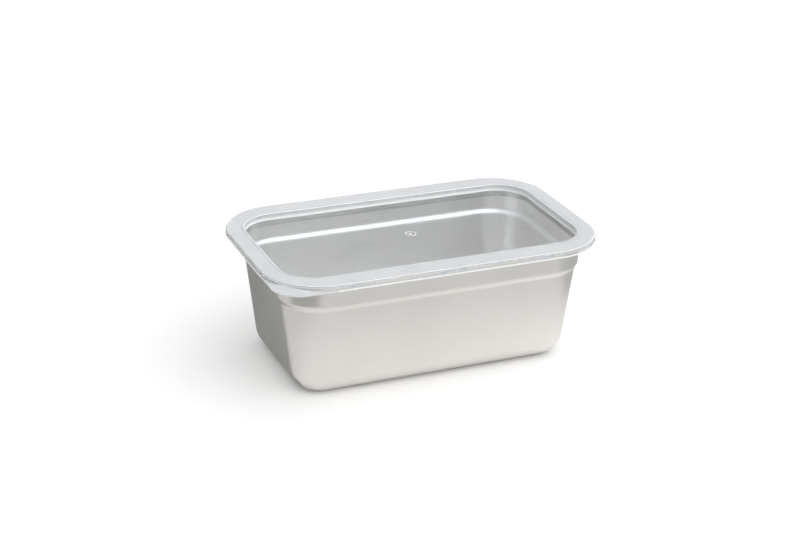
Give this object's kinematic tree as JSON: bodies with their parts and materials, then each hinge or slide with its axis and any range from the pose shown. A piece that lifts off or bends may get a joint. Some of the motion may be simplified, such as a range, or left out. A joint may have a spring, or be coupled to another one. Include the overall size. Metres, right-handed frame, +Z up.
{
  "type": "lidded steel food pan",
  "caption": "Deep rectangular steel food pan with a flat flange, stacking shoulder and tapered walls, closed by a plastic lid with a sunk clear window.",
  "frame": {"origin": "middle of the pan's flat base, on the surface it stands on, under the middle of the lid", "axes": "+X along the pan's length, +Y from the front long side to the back one, +Z up out of the mouth"},
  "size_m": [0.271, 0.168, 0.1012],
  "materials": {
    "steel": "satin",
    "lid_plastic": "translucent"
  },
  "bodies": {
    "root": {"pan": "steel", "lid": "lid_plastic"}
  },
  "joints": []
}
